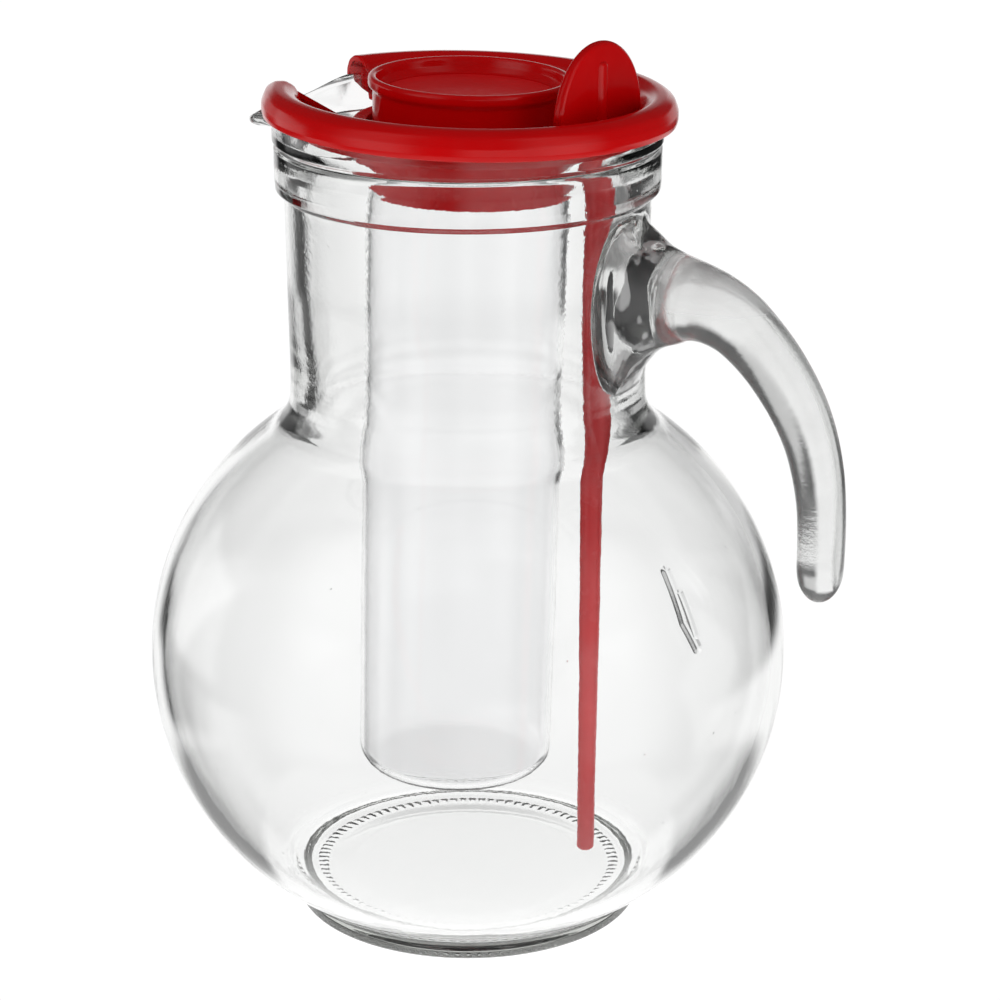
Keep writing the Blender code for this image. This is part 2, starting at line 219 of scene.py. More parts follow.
def glass_material():
    made, tree, s = node_material("glass_pressed")
    s.inputs["Base Color"].default_value = (0.996, 0.998, 0.997, 1.0)
    s.inputs["Transmission Weight"].default_value = 1.0
    s.inputs["IOR"].default_value = 1.51
    s.inputs["Specular Tint"].default_value = (0.5, 0.5, 0.5, 1.0)
    at = add_node(tree, "ShaderNodeTexCoord").outputs["Object"]
    # The hook of the handle is fire-finished and a little soft, and the pressed walls are clear.
    parts = add_node(tree, "ShaderNodeSeparateXYZ")
    tree.links.new(at, parts.inputs[0])
    hook = spread(tree, parts.outputs["X"], 0.0535, 0.0605, 0.0, 1.0, True)
    high = spread(tree, parts.outputs["Z"], 0.070, 0.080, 0.0, 1.0, True)
    grip = add_node(tree, "ShaderNodeMath", operation="MULTIPLY")
    tree.links.new(hook, grip.inputs[0])
    tree.links.new(high, grip.inputs[1])
    far = add_node(tree, "ShaderNodeVectorMath", operation="LENGTH")
    flat = add_node(tree, "ShaderNodeMapping")
    flat.inputs["Scale"].default_value = (1.0, 1.0, 0.0)
    tree.links.new(at, flat.inputs["Vector"])
    tree.links.new(flat.outputs["Vector"], far.inputs[0])
    # The round body reaches as far out as the hook does, so the wall itself is told apart by its own curve.
    down = add_node(tree, "ShaderNodeMath", operation="MULTIPLY_ADD")
    tree.links.new(parts.outputs["Z"], down.inputs[0])
    down.inputs[1].default_value = 0.86
    tree.links.new(far.outputs["Value"], down.inputs[2])
    clear_of_body = spread(tree, down.outputs[0], 0.176, 0.181, 0.0, 1.0, True)
    only = add_node(tree, "ShaderNodeMath", operation="MULTIPLY")
    tree.links.new(grip.outputs[0], only.inputs[0])
    tree.links.new(clear_of_body, only.inputs[1])
    # The rim's stepped band was reheated, and is softer than the walls.
    band = spread(tree, parts.outputs["Z"], 0.1915, 0.194, 0.0, 0.55, True)
    soft = add_node(tree, "ShaderNodeMath", operation="MAXIMUM")
    tree.links.new(spread(tree, only.outputs[0], 0.0, 1.0, 0.0, 2.0), soft.inputs[0])
    tree.links.new(band, soft.inputs[1])
    tree.links.new(spread(tree, soft.outputs[0], 0.0, 2.0, 0.0, 0.13), s.inputs["Roughness"])
    # Pressed glass is never quite flat: slow waves, a fine orange peel above the round body, and a few seeds.
    peel = add_node(tree, "ShaderNodeMath", operation="MULTIPLY")
    tree.links.new(noise(tree, at, 800.0, 2.0, 0.55), peel.inputs[0])
    tree.links.new(spread(tree, parts.outputs["Z"], 0.126, 0.144, 0.1, 1.0, True), peel.inputs[1])
    # The handle and its root are a trace milky, with a fine grain on the hook.
    root = spread(tree, parts.outputs["X"], 0.0445, 0.0475, 0.0, 1.0, True)
    upper = spread(tree, parts.outputs["Z"], 0.136, 0.144, 0.0, 1.0, True)
    under = spread(tree, parts.outputs["Z"], 0.1865, 0.1905, 1.0, 0.0, True)
    level = add_node(tree, "ShaderNodeMath", operation="MULTIPLY")
    tree.links.new(upper, level.inputs[0])
    tree.links.new(under, level.inputs[1])
    both = add_node(tree, "ShaderNodeMath", operation="MULTIPLY")
    tree.links.new(root, both.inputs[0])
    tree.links.new(level.outputs[0], both.inputs[1])
    milky = add_node(tree, "ShaderNodeMath", operation="MAXIMUM")
    tree.links.new(both.outputs[0], milky.inputs[0])
    tree.links.new(only.outputs[0], milky.inputs[1])
    cloudy = add_node(tree, "ShaderNodeMath", operation="MULTIPLY")
    tree.links.new(milky.outputs[0], cloudy.inputs[0])
    tree.links.new(spread(tree, noise(tree, at, 70.0, 2.0, 0.6), 0.35, 0.65, 0.35, 1.0, True), cloudy.inputs[1])
    # The top of the root is the most clouded.
    crown = add_node(tree, "ShaderNodeMath", operation="MULTIPLY")
    tree.links.new(spread(tree, parts.outputs["Z"], 0.163, 0.176, 0.0, 0.46, True), crown.inputs[0])
    tree.links.new(spread(tree, parts.outputs["X"], 0.0525, 0.062, 0.0, 1.0, True), crown.inputs[1])
    haze = add_node(tree, "ShaderNodeMath", operation="MAXIMUM")
    tree.links.new(spread(tree, cloudy.outputs[0], 0.0, 1.0, 0.0, 0.14), haze.inputs[0])
    tree.links.new(crown.outputs[0], haze.inputs[1])
    # Folds left by the hot glass run down the root as pale and clear streaks.
    creased = add_node(tree, "ShaderNodeMapping")
    creased.inputs["Scale"].default_value = (1.0, 1.0, 0.42)
    creased.inputs["Rotation"].default_value = (0.0, 0.35, 0.0)
    tree.links.new(at, creased.inputs["Vector"])
    streaks = add_node(tree, "ShaderNodeMath", operation="MULTIPLY")
    tree.links.new(spread(tree, noise(tree, creased.outputs["Vector"], 230.0, 1.5, 0.5), 0.44, 0.58, 0.0, 0.46, True), streaks.inputs[0])
    tree.links.new(spread(tree, parts.outputs["X"], 0.0535, 0.058, 1.0, 0.0, True), streaks.inputs[1])
    folded = add_node(tree, "ShaderNodeMath", operation="MULTIPLY")
    tree.links.new(streaks.outputs[0], folded.inputs[0])
    tree.links.new(both.outputs[0], folded.inputs[1])
    hazed = add_node(tree, "ShaderNodeMath", operation="MAXIMUM")
    tree.links.new(haze.outputs[0], hazed.inputs[0])
    tree.links.new(folded.outputs[0], hazed.inputs[1])
    tree.links.new(spread(tree, hazed.outputs[0], 0.0, 1.0, 1.0, 0.0), s.inputs["Transmission Weight"])
    # The root was pressed on hot, and its skin is wavy.
    rough_root = add_node(tree, "ShaderNodeMath", operation="MULTIPLY")
    tree.links.new(noise(tree, at, 75.0, 1.5, 0.5), rough_root.inputs[0])
    tree.links.new(spread(tree, parts.outputs["X"], 0.052, 0.060, 1.0, 0.0, True), rough_root.inputs[1])
    wavy = rough_root
    rough_root = add_node(tree, "ShaderNodeMath", operation="MULTIPLY")
    tree.links.new(wavy.outputs[0], rough_root.inputs[0])
    tree.links.new(both.outputs[0], rough_root.inputs[1])
    grain = add_node(tree, "ShaderNodeMath", operation="MULTIPLY")
    tree.links.new(noise(tree, at, 1100.0, 2.0, 0.6), grain.inputs[0])
    tree.links.new(only.outputs[0], grain.inputs[1])
    # A folded flow mark on the round body below the handle, and long upright striae.
    folds = []
    for a, b in (
        ((0.06735, -0.02373, 0.10883), (0.0732, -0.02544, 0.09718)),
        ((0.0732, -0.02544, 0.09718), (0.07615, -0.02392, 0.09067)),
        ((0.07081, -0.02343, 0.10337), (0.07525, -0.02386, 0.09336)),
    ):
        run = Vector(b) - Vector(a)
        off = add_node(tree, "ShaderNodeVectorMath", operation="SUBTRACT")
        tree.links.new(at, off.inputs[0])
        off.inputs[1].default_value = a
        ahead = add_node(tree, "ShaderNodeVectorMath", operation="DOT_PRODUCT")
        tree.links.new(off.outputs["Vector"], ahead.inputs[0])
        ahead.inputs[1].default_value = run / run.length_squared
        kept = add_node(tree, "ShaderNodeClamp")
        tree.links.new(ahead.outputs["Value"], kept.inputs["Value"])
        foot = add_node(tree, "ShaderNodeVectorMath", operation="SCALE")
        foot.inputs[0].default_value = run
        tree.links.new(kept.outputs[0], foot.inputs["Scale"])
        near = add_node(tree, "ShaderNodeVectorMath", operation="DISTANCE")
        tree.links.new(off.outputs["Vector"], near.inputs[0])
        tree.links.new(foot.outputs["Vector"], near.inputs[1])
        folds.append(near.outputs["Value"])
    fold = folds[0]
    for other in folds[1:]:
        node = add_node(tree, "ShaderNodeMath", operation="MINIMUM")
        tree.links.new(fold, node.inputs[0])
        tree.links.new(other, node.inputs[1])
        fold = node.outputs[0]
    pulled = add_node(tree, "ShaderNodeMapping")
    pulled.inputs["Scale"].default_value = (1.0, 1.0, 0.1)
    tree.links.new(at, pulled.inputs["Vector"])
    seeds = add_node(tree, "ShaderNodeTexVoronoi", in_Scale=75.0)
    tree.links.new(at, seeds.inputs["Vector"])
    bumps(
        tree,
        s,
        [
            (noise(tree, at, 45.0, 1.0, 0.45), 3.5e-5),
            (peel.outputs[0], 1.6e-5),
            (grain.outputs[0], 5.0e-5),
            (rough_root.outputs[0], 1.3e-3),
            (noise(tree, pulled.outputs["Vector"], 110.0, 2.0, 0.5), 2.6e-5),
            (spread(tree, fold, 0.0, 0.0021, 1.0, 0.0, True), 7.0e-4),
            (spread(tree, seeds.outputs["Distance"], 0.006, 0.026, 1.0, 0.0, True), 1.2e-4),
        ],
    )
    # Long ways through the glass come out grey-green.
    inside = add_node(tree, "ShaderNodeVolumeAbsorption", in_Density=9.0)
    inside.inputs["Color"].default_value = (0.19, 0.215, 0.165, 1.0)
    tree.links.new(inside.outputs[0], tree.nodes["Material Output"].inputs["Volume"])
    return made


def tube_material():
    made, tree, s = node_material("plastic_clear")
    s.inputs["Base Color"].default_value = (0.982, 0.982, 0.986, 1.0)
    s.inputs["Transmission Weight"].default_value = 1.0
    s.inputs["IOR"].default_value = 1.26
    at = add_node(tree, "ShaderNodeTexCoord").outputs["Object"]
    tree.links.new(spread(tree, noise(tree, at, 160.0, 3.0), 0.35, 0.65, 0.02, 0.07), s.inputs["Roughness"])
    stretch = add_node(tree, "ShaderNodeMapping")
    stretch.inputs["Scale"].default_value = (1.0, 1.0, 0.08)
    tree.links.new(at, stretch.inputs["Vector"])
    bumps(tree, s, [(noise(tree, stretch.outputs["Vector"], 160.0, 2.0), 3.0e-5)])
    return made


def red_material(name, color, rough, satin=False):
    made, tree, s = node_material(name)
    at = add_node(tree, "ShaderNodeTexCoord").outputs["Object"]
    ramp = add_node(tree, "ShaderNodeValToRGB")
    low, high = ramp.color_ramp.elements
    low.position, high.position = 0.35, 0.65
    low.color = (color[0] * 0.95, color[1] * 0.9, color[2] * 0.9, 1.0)
    high.color = (color[0] * 1.04, color[1] * 1.1, color[2] * 1.1, 1.0)
    tree.links.new(noise(tree, at, 45.0, 3.0, 0.55), ramp.inputs["Fac"])
    tree.links.new(ramp.outputs["Color"], s.inputs["Base Color"])
    s.inputs["IOR"].default_value = 1.46
    s.inputs["Specular IOR Level"].default_value = 0.3
    tree.links.new(spread(tree, noise(tree, at, 220.0, 3.0), 0.3, 0.7, rough * 0.8, rough * 1.2), s.inputs["Roughness"])
    if satin:
        bumps(tree, s, [(noise(tree, at, 2600.0, 2.0, 0.6), 9.0e-6)])
    else:
        bumps(tree, s, [(noise(tree, at, 60.0, 1.0), 3.0e-5), (noise(tree, at, 900.0, 2.0), 1.2e-6)])
    return made


GLASS = glass_material()
CLEAR = tube_material()
RED = (0.59, 0.0012, 0.0022)
RED_LID = red_material("plastic_red", RED, 0.15)
RED_CAP = red_material("plastic_red_cap", RED, 0.15)
# The stopper's recessed top disc takes a lighter copy of the red. Its satin grain and roughness are real, and its
# lighter colour is painted sheen.
RED_SATIN_PAINTED_SHEEN = red_material("plastic_red_satin", (0.78, 0.010, 0.012), 0.40, satin=True)
RED_STIR = red_material("plastic_red_stirrer", RED, 0.15)
# The stirrer's rod inside the glass takes a lighter, pinker copy of the stirrer's red. This is painted light, and the
# pink is a painted reflection of the glass in front of it.
RED_ROD_PAINTED_LIGHT = red_material("plastic_red_rod_painted_light", (0.80, 0.06, 0.065), 0.25)
RED_COLLAR = red_material("plastic_red_collar", (0.62, 0.004, 0.006), 0.25)


# ---------------------------------------------------------------- the glass jug

BODY_R, BODY_HALF, BODY_MID, BODY_POWER, BODY_WALL = 83.0, 76.7, 69.1, 2.03, 3.4
RIM_R, RIM_BORE, RIM_Z = 49.0, 44.6, 214.2
LIP_HALF_ANGLE, LIP_ROOT_Z, LIP_PULL, LIP_TIP, LIP_THINNING = 22.0, 198.5, (47.4, 205.6), (62.9, 203.6), 0.28
HANDLE = (
    (57.0, 170.7, 11.9, 11.2),
    (62.6, 170.6, 10.0, 10.2),
    (68.1, 169.4, 9.0, 9.6),
    (73.8, 166.7, 8.3, 9.1),
    (78.6, 162.9, 7.8, 8.7),
    (83.4, 158.0, 7.5, 8.4),
    (88.0, 151.9, 7.2, 8.1),
    (91.5, 146.0, 6.9, 7.8),
    (94.4, 139.2, 6.5, 7.5),
    (96.5, 131.2, 6.2, 7.2),
    (97.6, 123.5, 5.9, 6.9),
    (98.0, 115.5, 5.8, 6.7),
    (98.0, 107.5, 5.7, 6.6),
)
HANDLE_TIP_Z = 98.6


def oblate(half_r, half_h, start, end, count):
    """Points of the round body's wall between two latitudes in degrees."""
    found = []
    for i in range(count):
        s = math.sin(math.radians(start + (end - start) * i / (count - 1)))
        found.append((half_r * (1.0 - abs(s) ** BODY_POWER) ** (1.0 / BODY_POWER), BODY_MID + half_h * s))
    return found


def with_lip(r, z, angle):
    """A point of the jug's wall, pulled out into the pouring lip around -X."""
    off = abs(angle % 360.0 - 180.0)
    weight = math.cos(0.5 * math.pi * off / LIP_HALF_ANGLE) ** 2 if off < LIP_HALF_ANGLE else 0.0
    if z > LIP_ROOT_Z and weight > 0.0:
        t = (z - LIP_ROOT_Z) / (RIM_Z - LIP_ROOT_Z)
        mid = 0.5 * (RIM_R + RIM_BORE)
        a, b, c = (1 - t) ** 2, 2 * t * (1 - t), t * t
        cr = a * mid + b * LIP_PULL[0] + c * LIP_TIP[0]
        cz = a * LIP_ROOT_Z + b * LIP_PULL[1] + c * LIP_TIP[1]
        dr = 2 * (1 - t) * (LIP_PULL[0] - mid) + 2 * t * (LIP_TIP[0] - LIP_PULL[0])
        dz = 2 * (1 - t) * (LIP_PULL[1] - LIP_ROOT_Z) + 2 * t * (LIP_TIP[1] - LIP_PULL[1])
        long = math.hypot(dr, dz)
        out = (r - mid) * (1.0 - LIP_THINNING * t)
        tr, tz = cr + out * dz / long, cz - out * dr / long
        r, z = r + weight * (tr - r), z + weight * (tz - z)
    turn = math.radians(angle)
    return (r * math.cos(turn), r * math.sin(turn), z)


SEGS = 240
MID = SEGS // 2
PATCH_COLS = 15
PATCH_LOW, PATCH_HIGH = 145.4, 189.6
PATCH_W = 22.0
GRIP_Z = 0.5 * (PATCH_LOW + PATCH_HIGH)
GRIP_H = 0.5 * (PATCH_HIGH - PATCH_LOW)


def jug_mesh():
    # One closed profile: underside, foot, body, neck, rim, and down inside to the floor. Each row is (r, z, kind).
    rows = [(r, z, "") for r, z in rounded([(0.0, 0.4), (31.5, 0.4, 12.0), (37.6, 0.0, 6.0), (38.35, 0.0)], 2.0, 9)]
    rows += [(38.5, 0.0, "fine0"), (38.8, 0.0, "fine0.5"), (39.2, 0.0, "fine1"), (40.2, 0.0, "fine1"), (41.0, 0.0, "fine1"), (41.4, 0.0, "fine0.5"), (41.7, 0.0, "fine0")]
    body = oblate(BODY_R, BODY_HALF, -54.4, 54.0, 47)
    rows += [(r, z, "") for r, z in rounded([(41.9, 0.0), (45.6, 0.0, 1.3), (45.6, 4.9, 1.6), (body[0][0] - 1.0, body[0][1] - 0.75, 0.8), body[0]], 0.8)]
    rows += [(r, z, "") for r, z in body[1:]]
    neck = through([body[-2], body[-1], (46.9, 134.4), (45.75, 138.0), (45.45, 142.0), (45.4, PATCH_LOW - 1.2)], 5)[6:]
    rows += [(float(p[0]), float(p[1]), "") for p in neck]
    count = 30
    for k in range(count + 1):
        z = PATCH_LOW + (PATCH_HIGH - PATCH_LOW) * k / count
        rows.append((45.4 + 0.8 * (z - PATCH_LOW) / (190.4 - PATCH_LOW), z, "patch"))
    rows += [
        (r, z, "")
        for r, z in rounded(
            [
                (46.21, 190.5),
                (46.25, 191.5, 0.7),
                (48.35, 193.0, 1.0),
                (48.6, 195.5, 2.0),
                (48.6, 203.3, 0.6),
                (47.95, 204.2, 0.55),
                (49.0, 205.4, 0.6),
                (49.0, 214.2, 2.0),
                (44.6, 214.2, 1.6),
                (44.6, 206.8, 1.6),
                (43.9, 204.6, 2.0),
                (41.6, 202.2, 2.4),
                (41.1, 198.5, 6.0),
                (41.0, 190.0, 12.0),
                (41.0, 188.5),
            ],
            1.2,
        )
    ]
    # Down inside, the wall keeps its thickness.
    wall = [(r, z) for r, z, kind in rows if r > 45.0 and 6.5 < z < 188.0 and not kind.startswith("fine")]
    wall = [p for p in wall if p[1] > body[0][1] + 0.5]
    line = np.array(wall)
    ahead = np.gradient(line, axis=0)
    ahead /= np.linalg.norm(ahead, axis=1)[:, None]
    aside = np.stack((-ahead[:, 1], ahead[:, 0]), 1)
    level = np.clip((line[:, 1] - 94.0) / 16.0, 0.0, 1.0)
    level = (level * level * (3.0 - 2.0 * level))[:, None]
    # Towards the neck the glass is thicker, and its inside is the outside moved straight in, which keeps the bend clear.
    heights = np.linspace(90.0, 190.0, 401)
    deep = np.interp(heights, (90.0, 105.0, 115.0, 125.0, 133.0, 138.5, 145.0, 155.0, 168.0, 190.0), (3.6, 3.9, 4.5, 5.1, 5.8, 6.1, 5.9, 5.3, 4.9, 5.2))
    kernel = np.hanning(33)
    deep = np.convolve(np.pad(deep, 16, mode="edge"), kernel / kernel.sum(), mode="valid")
    across = np.interp(line[:, 1], heights, deep)[:, None]
    inner = line + (1.0 - level) * BODY_WALL * aside + level * across * np.array((-1.0, 0.0))
    inner = [tuple(p) for p in inner[::-1] if p[1] > 11.2]
    rows += [(float(r), float(z), "") for r, z in inner]
    rows += [(r, z, "") for r, z in rounded([(inner[-1][0] - 0.4, inner[-1][1] - 0.3), (41.6, 8.0, 4.0), (0.0, 8.0)], 2.2)]

    points, faces, rings, kinds = [], [], [], []
    for r, z, kind in rows:
        kinds.append(kind)
        if r < 1e-6:
            rings.append([len(points)])
            points.append((0.0, 0.0, z))
            continue
        if kind.startswith("fine"):
            deep = float(kind[4:])
            n = 2 * SEGS
            rings.append(list(range(len(points), len(points) + n)))
            for i in range(n):
                a = -180.0 + 360.0 * i / n
                lift = 0.42 * deep * max(0.0, math.cos(math.radians(96.0 * a))) ** 0.7
                points.append((r * math.cos(math.radians(a)), r * math.sin(math.radians(a)), z + lift))
            continue
        rings.append(list(range(len(points), len(points) + SEGS)))
        # Columns lean in towards the handle's root, so that the hole for it is round.
        outside = 100.0 < z < 260.0 and r > 45.0
        v = abs(z - GRIP_Z) / GRIP_H
        if not outside:
            wide = PATCH_W
        elif v <= 1.0:
            wide = PATCH_W * (0.42 + 0.58 * math.sqrt(1.0 - v * v))
        else:
            ease = min(1.0, (v - 1.0) / 0.45)
            wide = PATCH_W * (0.42 + 0.58 * ease * ease * (3 - 2 * ease))
        for i in range(SEGS):
            a = -180.0 + 360.0 * i / SEGS
            edge = 360.0 * PATCH_COLS / SEGS
            m, far = abs(a), 75.0
            if m <= edge:
                m = m * wide / edge
            elif m < far:
                m = wide + (m - edge) * (far - wide) / (far - edge)
            if 142.0 < z < 196.0 and r < 44.0:
                # Behind the handle's root the inside swells a little.
                push = math.exp(-((math.radians(m) * r / 8.5) ** 2) - ((z - 170.0) / 13.0) ** 2)
                points.append(with_lip(r - 1.5 * push, z, math.copysign(m, a)))
                continue
            points.append(with_lip(r, z, math.copysign(m, a)))
    patch = [k for k, kind in enumerate(kinds) if kind == "patch"]
    first, last = patch[0], patch[-1]
    for k in range(len(rings) - 1):
        low, high = rings[k], rings[k + 1]
        n = max(len(low), len(high))
        for i in range(n):
            j = (i + 1) % n
            if len(low) == 1:
                faces.append((low[0], high[j], high[i]))
            elif len(high) == 1:
                faces.append((low[i], low[j], high[0]))
            elif len(low) == len(high):
                if first <= k < last and MID - PATCH_COLS <= i < MID + PATCH_COLS:
                    continue
                faces.append((low[i], low[j], high[j], high[i]))
            elif len(low) < len(high):
                if i % 2 == 0:
                    a, b = low[i // 2], low[(i // 2 + 1) % len(low)]
                    faces.append((a, b, high[(i + 2) % n], high[i + 1], high[i]))
            elif i % 2 == 0:
                a, b = high[i // 2], high[(i // 2 + 1) % len(high)]
                faces.append((low[i], low[i + 1], low[(i + 2) % n], b, a))

    # The hole's edge, counter-clockwise seen from +X.
    loop = [rings[first][MID - PATCH_COLS + c] for c in range(2 * PATCH_COLS)]
    loop += [rings[k][MID + PATCH_COLS] for k in range(first, last)]
    loop += [rings[last][MID + PATCH_COLS - c] for c in range(2 * PATCH_COLS)]
    loop += [rings[k][MID - PATCH_COLS] for k in range(last, first, -1)]
    path = through(HANDLE, 6)
    angles = []
    for q in loop:
        p = points[q]
        angles.append(math.atan2((p[2] - GRIP_Z) / GRIP_H, p[1] / 17.2))

    def frame_at(i):
        a, b = path[max(i - 1, 0)], path[min(i + 1, len(path) - 1)]
        tx, tz = b[0] - a[0], b[1] - a[1]
        long = math.hypot(tx, tz)
        return (tx / long, tz / long), (-tz / long, tx / long)

    def ring_at(i):
        x, z, half_in, half_out = path[i]
        (tx, tz), (nx, nz) = frame_at(i)
        return [np.array((x + half_in * math.sin(t) * nx, half_out * math.cos(t), z + half_in * math.sin(t) * nz)) for t in angles]

    sections = []
    start = ring_at(0)
    second = ring_at(1)
    flare = 16
    for k in range(1, flare):
        t = k / flare
        h00, h10 = 2 * t**3 - 3 * t**2 + 1, t**3 - 2 * t**2 + t
        h01, h11 = -2 * t**3 + 3 * t**2, t**3 - t**2
        ring = []
        for q, p1, p2 in zip(loop, start, second):
            p0 = np.array(points[q])
            radial = np.array((p0[0], p0[1], 0.0)) / math.hypot(p0[0], p0[1])
            inward = np.array((46.5, 0.0, GRIP_Z)) - p0
            inward -= radial * np.dot(inward, radial)
            inward = inward / np.linalg.norm(inward)
            ahead = (p2 - p1) / np.linalg.norm(p2 - p1)
            ring.append(h00 * p0 + h10 * inward * 11.0 + h01 * p1 + h11 * ahead * 15.0)
        # The gather was pressed on hot, so it's a little uneven.
        mid = sum(ring) / len(ring)
        for m, q in enumerate(angles):
            uneven = 0.045 * math.sin(2.0 * q + 2.2 * t) + 0.035 * math.sin(3.0 * q - 3.1 * t + 0.8) + 0.02 * math.sin(5.0 * q + 4.0 * t)
            ring[m] = ring[m] + (ring[m] - mid) * uneven * math.sin(math.pi * t) ** 2
        sections.append(ring)
    sections += [ring_at(i) for i in range(len(path))]
    x, z, half_in, half_out = path[-1]
    (tx, tz), (nx, nz) = frame_at(len(path) - 1)
    drop = z - HANDLE_TIP_Z
    for k in range(1, 9):
        t = math.radians(90.0 * k / 9)
        c, s = math.cos(t), math.sin(t)
        sections.append([np.array((x + half_in * c * math.sin(q) * nx, half_out * c * math.cos(q), z + half_in * c * math.sin(q) * nz - drop * s)) for q in angles])
    n = len(loop)
    before = loop
    for ring in sections:
        here = list(range(len(points), len(points) + n))
        points.extend(tuple(p) for p in ring)
        for i in range(n):
            j = (i + 1) % n
            faces.append((before[i], before[j], here[j], here[i]))
        before = here
    points.append((x, 0.0, HANDLE_TIP_Z))
    for i in range(n):
        faces.append((before[i], before[(i + 1) % n], len(points) - 1))
    return points, faces


jug = make("jug_glass", *jug_mesh(), [GLASS])
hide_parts("glass_bowl", "glass_shoulder", "glass_neck", "glass_handle")
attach(jug, "jug")


# ---------------------------------------------------------------- the lid

LID_GAP = 23.5


def inset(section, by):
    """A closed section of (r, z) drawn in by a small distance."""
    if by <= 0.0:
        return section
    p = np.array(section)
    ahead, back = np.roll(p, -1, 0) - p, p - np.roll(p, 1, 0)
    t = ahead / np.linalg.norm(ahead, axis=1)[:, None] + back / np.linalg.norm(back, axis=1)[:, None]
    t = t / np.linalg.norm(t, axis=1)[:, None]
    area = 0.5 * np.sum(p[:, 0] * np.roll(p[:, 1], -1) - np.roll(p[:, 0], -1) * p[:, 1])
    side = 1.0 if area > 0 else -1.0
    return [tuple(v) for v in p + by * side * np.stack((-t[:, 1], t[:, 0]), 1)]


def closed_rounded(corners, step, arc):
    """Rounds every corner of a closed section, starting in the middle of its first side."""
    a, b = corners[0], corners[1]
    mid = (0.5 * (a[0] + b[0]), 0.5 * (a[1] + b[1]))
    line = [mid] + list(corners[1:]) + [corners[0], mid]
    return rounded(line, step, arc)[:-1]


def lid_mesh():
    section = closed_rounded(
        [
            (50.0, 210.65, 0.35),
            (51.55, 210.5, 0.6),
            (51.9, 212.0, 1.6),
            (51.85, 213.8, 2.2),
            (50.9, 216.2, 2.4),
            (48.9, 217.5, 2.6),
            (46.3, 217.65, 2.6),
            (44.0, 216.5, 2.6),
            (42.6, 214.2, 3.0),
            (41.4, 209.0, 0.8),
            (28.6, 209.0, 0.3),
            (28.6, 207.0, 0.3),
            (42.2, 207.0, 0.6),
            (43.4, 212.2, 2.0),
            (44.3, 215.1, 1.4),
            (46.6, 215.95, 1.8),
            (48.7, 215.5, 1.4),
            (49.75, 214.0, 1.2),
        ],
        1.2,
        6,
    )
    half = 180.0 - LID_GAP
    edge = 0.55
    ends = []
    for k in range(6):
        t = 0.5 * math.pi * k / 5
        ends.append((edge * (1.0 - math.sin(t)), edge * (1.0 - math.cos(t))))
    turns = []
    for by, along in ends:
        turns.append((-half + math.degrees(along / 47.0), by))
    inner = half - math.degrees(edge / 47.0)
    steps = 200
    turns += [(-inner + 2 * inner * i / steps, 0.0) for i in range(1, steps)]
    turns += [(-a, by) for a, by in reversed(turns[:6])]
    points, faces, rings = [], [], []
    for a, by in turns:
        t = math.radians(a)
        rings.append(list(range(len(points), len(points) + len(section))))
        points += [(r * math.cos(t), r * math.sin(t), z) for r, z in inset(section, by)]
    n = len(section)
    for low, high in zip(rings, rings[1:]):
        for i in range(n):
            faces.append((low[i], low[(i + 1) % n], high[(i + 1) % n], high[i]))
    faces.append(rings[0])
    faces.append(rings[-1][::-1])
    return points, faces


points, faces = lid_mesh()
lid = make("lid_shell", leaned(points), faces, [RED_LID])
points, faces = lathe([(0.0, 203.0), (4.0, 203.0), (4.0, 213.0), (0.0, 213.0)], 48)
cutter = make("rod_hole", [(x + 35.2, y, z) for x, y, z in points], faces, [])
cut = lid.modifiers.new("hole", "BOOLEAN")
cut.operation, cut.solver, cut.object = "DIFFERENCE", "EXACT", cutter
done = bpy.data.meshes.new_from_object(lid.evaluated_get(bpy.context.evaluated_depsgraph_get()))
# The cut leaves a few doubled points.
edit = bmesh.new()
edit.from_mesh(done)
bmesh.ops.remove_doubles(edit, verts=edit.verts, dist=1e-6)
bmesh.ops.dissolve_degenerate(edit, dist=1e-6, edges=edit.edges)
edit.to_mesh(done)
edit.free()
lid.modifiers.clear()
lid.data = done
done.shade_smooth()
done.set_sharp_from_angle(angle=math.radians(42.0))
bpy.data.objects.remove(cutter, do_unlink=True)
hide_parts("lid")
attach(lid, "lid")

collar_section = closed_rounded(
    [
        (25.8, 209.2, 0.3),
        (25.8, 193.4, 0.4),
        (28.5, 193.4, 0.6),
        (28.5, 206.8, 0.4),
        (29.4, 206.8, 0.4),
        (29.4, 209.2, 0.6),
    ],
    2.0,
    5,
)
points, faces = lathe(collar_section, 160)
collar = make("lid_collar", leaned(points), faces, [RED_COLLAR])
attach(collar, "lid")


# ---------------------------------------------------------------- the ice tube

tube_profile = rounded(
    [
        (0.0, 36.0),
        (25.5, 36.0, 5.1),
        (25.5, 206.4, 0.5),
        (24.4, 206.4, 0.5),
        (24.4, 37.3, 4.0),
        (0.0, 37.3),
    ],
    4.0,
    9,
)
points, faces = lathe(tube_profile, 160)
tube = make("ice_tube_clear", leaned(points), faces, [CLEAR])
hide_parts("ice_tube")
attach(tube, "tube")


# ---------------------------------------------------------------- the stopper

cap_profile = rounded(
    [
        (0.0, 213.7),
        (22.4, 213.7, 1.2),
        (22.4, 201.6, 0.35),
        (23.5, 201.6, 0.35),
        (23.5, 206.8, 0.2),
        (24.3, 206.8, 0.3),
        (24.3, 216.9, 1.2),
        (25.5, 218.3, 1.0),
        (25.5, 220.7, 1.1),
        (23.5, 220.7, 0.9),
        (23.1, 218.3, 1.6),
        (22.2, 216.6, 1.3),
        (0.0, 216.6),
    ],
    1.4,
    8,
)
points, faces = lathe(cap_profile, 180)
